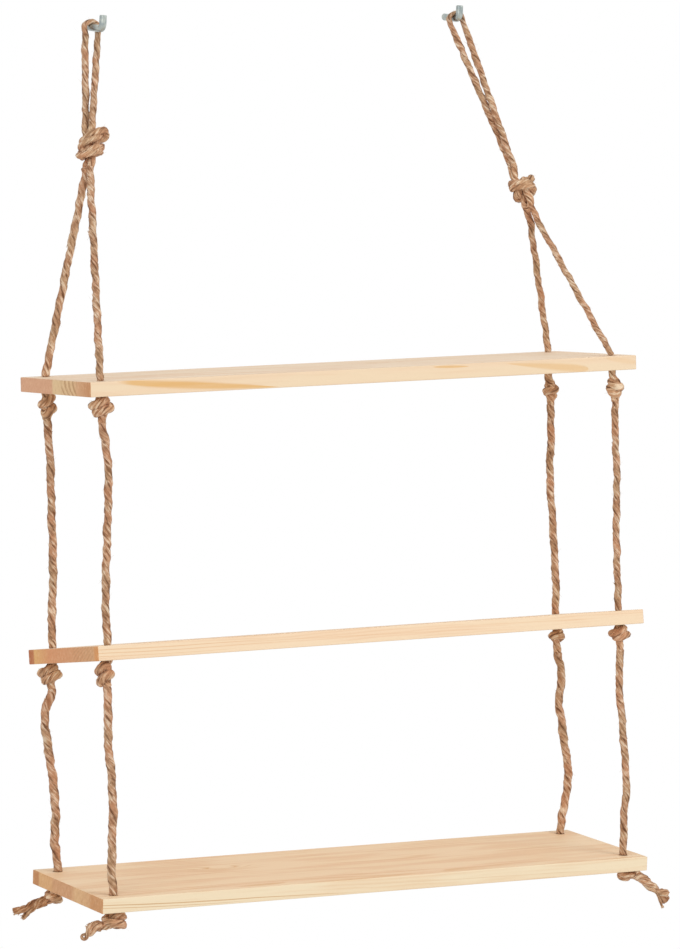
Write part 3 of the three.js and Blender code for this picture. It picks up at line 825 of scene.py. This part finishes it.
def tailPath(corner):
    name = f"bottom_{corner}"
    pulled, plain = pulledKnot(name), knotLine(True)
    way, plainWay = unit(pulled[-1] - pulled[-2]), unit(plain[-1] - plain[-2])
    gap = knot["collar"] + tailShape["gap"]
    start = atKnot(name, pulled[-1] + way * (gap - tailShape["inside"]))
    lead = atKnot(name, pulled[-1] + way * (gap + tailShape["straight"]))
    tip = atKnot(name, plain[-1] + plainWay * (gap + tailShape["plainExit"])) + tails[corner]["reach"]
    line = [start, lead, *(lead + (tip - lead) * share for share in tailShape["shares"])]
    return smoothPath(line, tailShape["step"])


def makeTail(corner, seed):
    draws = np.random.default_rng(seed)
    row = tails[corner]
    path = tailPath(corner)
    shells, uv, yarns = [], [], []
    for strand, (off, endRadius, reach, yarnLength, curl) in enumerate(tailStrands[corner]):
        line = path[:int(len(path) * reach)]
        _, normal, side = carriedFrame(line)
        share = lengthAlong(line) / lengthAlong(line)[-1]
        openness = smoothStep(tailShape["openFrom"], 1, share)
        turned = -lengthAlong(line) * fullTurn / tailShape["lay"] + strand * fullTurn / 3 + seed
        aside = ringWays(turned[:, None], normal, side)[:, 0]
        offset = tailShape["offset"] * row["thick"] * (1 - 0.5 * openness)
        centre = line + aside * offset[:, None] + openness[:, None] ** 1.4 * off
        radius = tailShape["radius"] * row["thick"]
        radius = radius + (endRadius - radius) * openness
        waistAt, waistWide = tailShape["waist"]
        radius = radius * (1 - row["waist"] * np.exp(-((share - waistAt) / waistWide) ** 2))
        if curl:
            centre, radius = curled(centre, radius, curl)
        along = lengthAlong(centre)
        grid, ways, normal, side = strandGrid(centre, radius, along, seed + strand)
        shells.append(tubeShell(grid))
        uv.append(tubeUv(along + 30 * seed + 9 * strand, tailShape["sides"]))
        count = tailYarn["count"]
        spin, out = draws.random(count) * fullTurn, draws.random(count)[:, None] ** 0.5
        across = ringWays(spin, normal[-4], side[-4]) * out
        begin = centre[-5] + across * radius[-1] * 0.85
        stray = (draws.random((count, 3)) - 0.5) * tailYarn["stray"]
        heading = unit(ways[-4] + across * tailYarn["sideways"] + stray)
        yarns.append((begin, heading, yarnLength * (0.35 + 0.65 * draws.random(count)) + tailYarn["least"]))
    # The left back tail takes the darker copy of the jute, which is painted shade
    finish = shadedTailJute if corner == "left_back" else knotJute
    shell, uv = joined(shells), np.vstack(uv)
    newPiece(f"{corner}_frayed_tail", shell, finish, "bottom_tier", f"{corner}_tail", uv)
    begin, heading, size = (np.concatenate(part) for part in zip(*yarns))
    t = np.linspace(0, 1, 6)[None, :, None]
    bend = unit(draws.random((len(begin), 3)) - 0.5)[:, None]
    centres = begin[:, None] + size[:, None, None] * (t * heading[:, None] + tailYarn["bend"] * t ** 2 * bend)
    radii = tailYarn["radius"] * (1 - 0.6 * t[..., 0] ** 2) * np.ones((len(begin), 1))
    newPiece(f"{corner}_tail_yarns", makeTubes(centres, radii, tailYarn["sides"]), juteFuzz, "bottom_tier")


for number, corner in enumerate(corners):
    makeTail(corner, firstSeed["tail"] + number)
print("tails made")

# Pine boards

# Each board's colours: its faces, its lines and their strength on the front and on the top, the front's share of
# pink, where its end shows rings, with their slant and spacing, how strong they are, a figure on the top, its
# staves' width, and its end grain from the back edge to the front one
pineTones = {
    "top": {
        "front": "efd7b6", "flat": "f3dcc0", "pink": "f0d2b2", "line": "dcb488", "frontLines": 0.12,
        "flatLines": 0.35, "frontPink": 0.5, "rings": (-14, -46, -0.64, 8.5), "ringed": 0.6,
        "figure": (60, 10), "stave": 58.0, "shift": 7.0, "seed": 3.0,
        "end": [(0.0, "d0a185"), (0.03, "dfaa87"), (0.45, "dda884"), (0.48, "e6c698"), (0.76, "e4c090"),
                (0.82, "dcab80"), (0.97, "cc9264")],
    },
    "middle": {
        "front": "f4dab9", "flat": "f2dabb", "pink": "f3d1af", "line": "e0b182", "frontLines": 0.28,
        "flatLines": 0.5, "frontPink": 0.5, "rings": (-22, -64, 1.7, 7.5), "ringed": 0.28,
        "figure": (-40, -20), "stave": 44.0, "shift": 21.0, "seed": 11.0,
        "end": [(0.0, "b5683f"), (0.07, "c4794c"), (0.09, "e8b473"), (0.3, "df9b6c"), (0.55, "dc9d70"),
                (0.93, "daa87a"), (0.96, "de9b60")],
    },
    "bottom": {
        "front": "f4e1c0", "flat": "f3d8b5", "pink": "eecba6", "line": "dbac74", "frontLines": 0.2,
        "flatLines": 0.5, "frontPink": 0.3, "rings": (40, -75, 0.9, 13.0), "ringed": 0.1,
        "figure": (-126, 19), "stave": 66.0, "shift": 14.0, "seed": 23.0,
        "end": [(0.0, "cf9562"), (0.08, "c58654"), (0.1, "e3b27c"), (0.27, "e1ae79"), (0.3, "d8a376"),
                (0.55, "d6a074"), (0.62, "e6ba88"), (0.8, "deae7e"), (0.84, "d39a68")],
    },
}

# Streaks on the boards' fronts: where each starts along and across, how far it runs and sinks, its greatest
# thickness, how strong it is, and whether it is thickest early (low) or late
streaks = {
    "top": ("e2b069", [
        (-276, 6, 174, -13, 4.0, 0.85, 0.6), (66, 5.6, 42, -1.2, 1.5, 0.75, 0.75),
        (146, 5.6, 98, -9.5, 3.9, 0.52, 1.12), (262, 6, 46, -7, 3.0, 0.2, 0.75),
    ]),
    "middle": ("deab78", [
        (-350, 3, 260, -1.2, 0.5, 0.6, 0.5), (-350, 0, 290, -1.5, 0.5, 0.6, 0.5),
        (-350, -3, 210, -1, 0.4, 0.5, 0.5), (-150, 1, 260, -2, 0.6, 0.3, 0.75), (60, 3, 200, -2, 0.6, 0.25, 0.75),
    ]),
    "bottom": ("cc9c64", [
        (-350, 2, 320, -8, 0.6, 0.85, 0.6), (-340, -1, 200, -4.5, 0.45, 0.7, 0.6),
        (-60, 2, 320, -5, 0.4, 0.3, 0.8),
    ]),
}


def pineFinish(name):
    # The finish reads the board's own coordinates in millimetres: rings of growth about a pith line
    # outside each stave show as lines along the faces and as arcs on the ends.
    tones = pineTones[name]
    f = Finish(f"pine{name.capitalize()}")
    x, y, z = f.parts(f.node("Mapping", {
        "Vector": f.place(),
        "Location": tuple(np.array(boards[name]["centre"]) * mm),
        "Rotation": boardAngles(name),
        "Scale": (mm, mm, mm),
    }, vector_type="TEXTURE"))
    halfX, halfY = board["length"] / 2, board["depth"] / 2
    staves = (y + (halfY + tones["shift"])) / tones["stave"]
    number, inside = staves.floor(), staves.fract()
    draw = f.node("TexWhiteNoise", {"W": number + tones["seed"]}, out="Color", noise_dimensions="1D")
    d1, d2, d3 = f.parts(draw)
    low = f.noise(f.vector(x * 0.005, y * 0.03, number * 7.3 + z * 0.04))
    fine = f.noise(f.vector(x * 0.012, y * 0.9, z * 0.9), 1.0, 3.0, 0.6)
    cloud = f.noise(f.vector(x * 0.008, y * 0.06, z * 0.12 + tones["seed"]))
    pithY = (inside - 0.2 - d1 * 0.6) * tones["stave"]
    pithZ = z + (d2 * 26 + 12) * ((d3 - 0.5).ease(-0.02, 0.02) * 2 - 1)
    figureX, figureY = (x - tones["figure"][0]) / 34, (y - tones["figure"][1]) / 10
    figure = f.maths("EXPONENT", 0 - (figureX * figureX + figureY * figureY))
    distance = (pithY * pithY + pithZ * pithZ).root() + low * 13 + x * 0.008 * (d1 - 0.5) + fine * 0.6 + figure * 11
    ring = (distance / (2.6 + d3 * 1.8)).fract()
    wood = ring.ease(0.35, 0.9) * ring.ease(1.0, 0.93)
    onFront = y.size().ease(halfY - 1.4, halfY - 0.6)
    onEnd = x.size().ease(halfX - 0.8, halfX - 0.2)
    strength = onFront * tones["frontLines"] + (1 - onFront) * tones["flatLines"]
    plain = f.mix(onFront, tones["flat"], tones["front"])
    pink = onFront * tones["frontPink"] + (1 - onFront) * 0.75
    face = f.mix(cloud.ease(0.42, 0.62) * pink, plain, tones["pink"])
    face = f.mix(wood * strength * (cloud.ease(0.35, 0.6) + figure * 1.4), face, tones["line"])
    face = f.mix(fine.ease(0.54, 0.78) * (0.22 - onFront * 0.12), face, tones["line"])
    end = f.node("ValToRGB", {0: (halfY - y) / board["depth"]})
    marks = end.socket.node.color_ramp.elements
    for index, (stop, code) in enumerate(tones["end"]):
        mark = marks[index] if index < 2 else marks.new(stop)
        mark.position, mark.color = stop, colour(code)
    pores = f.noise(f.vector(x * 0.1, y * 0.5, z * 0.22), 1.0, 3.0, 0.7)
    near, far, slant, spacing = tones["rings"]
    arcs = ((y + z * slant + z * z * 0.06 + fine * 3 + pores * 5) / spacing).fract()
    ringed = y.ease(near + 3, near - 3) * y.ease(far - 3, far + 3)
    end = f.mix(arcs.ease(0.3, 0.75) * arcs.ease(1.0, 0.85) * ringed * tones["ringed"], end, "a9744c")
    end = f.mix(pores.ease(0.5, 0.7) * 0.4, end, "b98157")
    end = f.mix(pores.ease(0.48, 0.3) * 0.5, end, "f0cba0")
    glue = (inside - 0.5).size().ease(0.492, 0.4995)
    base = f.mix(glue * 0.35, face, "c79a6c")
    # Each streak is a leaf: its half thickness is 2.6 T s^p (1 - s)^(1.5 - p) at the share s of its length
    streakColour, rows = streaks[name]
    shown = 0.0
    for startX, startZ, run, sink, thick, strong, late in rows:
        share = f.node("Clamp", {0: (x - startX) / run})
        leaf = share ** late * (1 - share) ** (1.5 - late) * (2.6 * thick) + 0.01
        away = (z - (startZ + sink * share) + (low - 0.5) * 4).size() / leaf
        shown = shown + away.ease(1.2, 0.4) * share.ease(0.0, 0.12) * strong
    onStreak = y.ease(1.2 - halfY, 0.4 - halfY)
    base = f.mix(shown * onStreak * (0.65 + fine * 0.6), base, streakColour)
    return f.solid({
        "Base Color": f.mix(onEnd, base, end), "Roughness": 0.5 + fine * 0.25, "Specular IOR Level": 0.35,
        "Normal": f.bump(wood * 0.3 + fine * 0.5 - glue * 0.5, 0.3, 0.0003),
    })


def plankShell():
    # The board's section, a rectangle with eased corners, carried from end to end and drawn in at both ends
    edge, steps = board["edge"], 5
    halfX, halfY, halfZ = (board[side] / 2 - edge for side in ("length", "depth", "thickness"))
    quarter = np.linspace(0, pi / 2, steps)
    angle = np.concatenate([quarter + i * pi / 2 for i in range(4)])
    signY = np.repeat([1, -1, -1, 1], steps)
    signZ = np.repeat([1, 1, -1, -1], steps)
    sections = []
    for number, turn in enumerate(np.concatenate([-quarter[::-1], quarter])):
        x = (-halfX if number < steps else halfX) + sin(turn) * edge
        bulge = cos(turn) * edge
        y, z = signY * halfY + np.cos(angle) * bulge, signZ * halfZ + np.sin(angle) * bulge
        sections.append(np.stack([np.full(len(angle), x), y, z], axis=1))
    return tubeShell(np.array(sections))


def drillShell(place):
    # A drill with a flared rim at both faces of the board: r(z) grows by the rim near each face
    top, rim = board["thickness"] / 2, board["rim"]
    half = [(-top - 2, 1.6), (-top, 1.0), (-top + rim * 0.3, 0.4), (-top + rim, 0)]
    rings = []
    for height, flare in half + [(-height, flare) for height, flare in half[::-1]]:
        radius = board["hole"] + rim * 0.8 * flare
        rings.append(ringAt((*place, height), (radius, 0, 0), (0, radius, 0), 48))
    return tubeShell(np.array(rings))


def makeBoard(name):
    points, faces = plankShell()
    shell = onBoard(name, points), faces
    plank = newPiece(f"{name}_board", shell, pineFinish(name), f"{name}_tier", smooth=False)
    points, faces = joined([drillShell(place) for place in corners.values()])
    drill = newMesh("drill", onBoard(name, points) * mm, faces)
    cut = plank.modifiers.new("holes", "BOOLEAN")
    cut.operation = "DIFFERENCE"
    cut.solver = "EXACT"
    cut.object = drill
    bpy.context.view_layer.update()
    done = bpy.data.meshes.new_from_object(plank.evaluated_get(bpy.context.evaluated_depsgraph_get()))
    plank.modifiers.clear()
    plank.data = done
    bpy.data.objects.remove(drill)
    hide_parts(f"{name}_shelf")


for name in boards:
    makeBoard(name)
print("boards made")

# Wall hooks


def zincFinish():
    f = Finish("zinc")
    place = f.place()
    cloud = f.noise(place, 160.0, 3.0)
    grain = f.noise(place, 1400.0, 2.0)
    base = f.mix(cloud.ease(0.35, 0.7), "98a2a2", "bcc2bb")
    base = f.mix(grain.ease(0.55, 0.75) * 0.3, base, "cdccb9")
    return f.solid({
        "Base Color": base, "Metallic": 0.9, "Roughness": 0.24 + cloud * 0.2,
        "Normal": f.bump(grain, 0.25, 0.0002),
    })


zinc = zincFinish()


def makeHook(name, place):
    # The wire's circle carried from the screw point to the pin. In the wall its radius follows the thread:
    # r = R - depth + depth |cos(pi (length / pitch - turn))|^1.5, and a cone draws it in to the point.
    reach, bend, tall = hook["pinDistance"], hook["bend"], hook["pinHeight"]
    arc = [(0, -(reach - bend) - sin(a) * bend, bend * (1 - cos(a))) for a in np.linspace(0, pi / 2, 9)]
    straight = [(0, y, 0) for y in (hook["thread"], *hook["straight"], arc[0][1] + 1)]
    rise = [(0, -reach, z) for z in (bend + 1.5, tall - 3, tall)]
    x, y, z = (np.array([*straight, *arc, *rise]) + [0, reach, 0]).T
    tilt = radians(hook["tilt"])
    up = y * sin(tilt) + z * cos(tilt)
    back = y * cos(tilt) - z * sin(tilt) - reach
    path = smoothPath(np.stack([x, back, up], axis=1), hook["step"])
    _, normal, side = carriedFrame(path, (1, 0, 0))
    along = lengthAlong(path)
    angle = anglesRound(hook["sides"])
    turns = along[:, None] / hook["pitch"] - angle / fullTurn
    fade = smoothStep(hook["thread"] - 5, hook["thread"] - 2, along)[:, None]
    depth = hook["threadDepth"] * (1 - fade)
    radius = hook["radius"] - depth + depth * np.abs(np.cos(pi * turns)) ** 1.5
    radius = radius * np.clip(0.12 + along / hook["point"], 0, 1)[:, None]
    fromTop = np.clip((along[-1] - along) / hook["chamfer"], 0, 1)[:, None]
    radius = radius - hook["chamfer"] * (1 - fromTop) * 0.8
    grid = path[:, None] + radius[..., None] * ringWays(angle, normal, side) + place
    newPiece(f"{name}_screw_hook", tubeShell(grid), zinc, "wall_hooks", f"{name}_wall_hook")


for name, row in sides.items():
    makeHook(name, (row["seat"][0], 0, row["seat"][2]))
print("hooks made")

# Floor, light and background, in metres

studio = {"floorHeight": -1.22, "floorRadius": 2.2, "world": 0.66, "aim": (0.03, -0.08, -0.45)}
wallPatch = {"wide": 0.018, "tall": 0.008, "raised": 0.004, "solid": 0.85}
lamps = {"keyLamp": ((1.5, -2.4, 1.2), 1.6, 31), "fillLamp": ((-2.2, -1.8, 0.6), 1.8, 17)}    # place, size, watts


def stageSheet(name, ring, material):
    sheet = newMesh(name, ring, [list(range(len(ring)))])
    sheet.data.materials.append(material)
    return sheet


def makeFloor():
    size = studio["floorRadius"]
    f = Finish("floorPaper")
    x, y, _ = f.parts(f.place())
    edge = (x * x + y * y).root().ease(size * 0.35, size * 0.95)
    paper = f.node("BsdfDiffuse", {"Color": "f4f3f1"})
    material = f.glowing(f.seenRays() * (0.55 + edge * 0.45), paper)
    stageSheet("floor", ringAt((0, 0, studio["floorHeight"]), (size, 0, 0), (0, size, 0), 96), material)


def makeWallPatch(name, x, z):
    # The bit of white wall that hides a hook's screw: a small oval with a soft rim, clear from behind
    wide, tall, level = wallPatch["wide"], wallPatch["tall"], z + wallPatch["raised"]
    f = Finish(name)
    right, _, up = f.parts(f.place())
    right, up = (right - x) / wide, (up - level) / tall
    inFront = 1 - f.node("NewGeometry", out="Backfacing")
    shown = (right * right + up * up).root().ease(1.0, wallPatch["solid"]) * inFront
    material = f.glowing(shown, f.node("BsdfTransparent"))
    patch = stageSheet(name, ringAt((x, 0, level), (wide, 0, 0), (0, 0, tall), 48), material)
    for light in ("diffuse", "glossy", "transmission", "volume_scatter", "shadow"):
        setattr(patch, f"visible_{light}", False)


def makeWorld():
    world = bpy.data.worlds.new("studio")
    bpy.context.scene.world = world
    f = Finish("studio", world)
    strength = f.node("MapRange", {0: f.seenRays(), 3: studio["world"]})
    f.node("OutputWorld", {0: f.node("Background", {"Color": "ffffff", "Strength": strength})})


def makeLamp(name, place, size, energy):
    lamp = bpy.data.lights.new(name, "AREA")
    lamp.shape = "DISK"
    lamp.size = size
    lamp.energy = energy
    shown = newObject(name, lamp)
    shown.location = place
    shown.rotation_euler = (Vector(studio["aim"]) - Vector(place)).to_track_quat("-Z", "Y").to_euler()


makeFloor()
for name, row in sides.items():
    makeWallPatch(f"{name}WallPatch", row["seat"][0] * mm, row["seat"][2] * mm)
makeWorld()
for name, facts in lamps.items():
    makeLamp(name, *facts)
bpy.context.scene.view_settings.view_transform = "Standard"
print("studio lit")
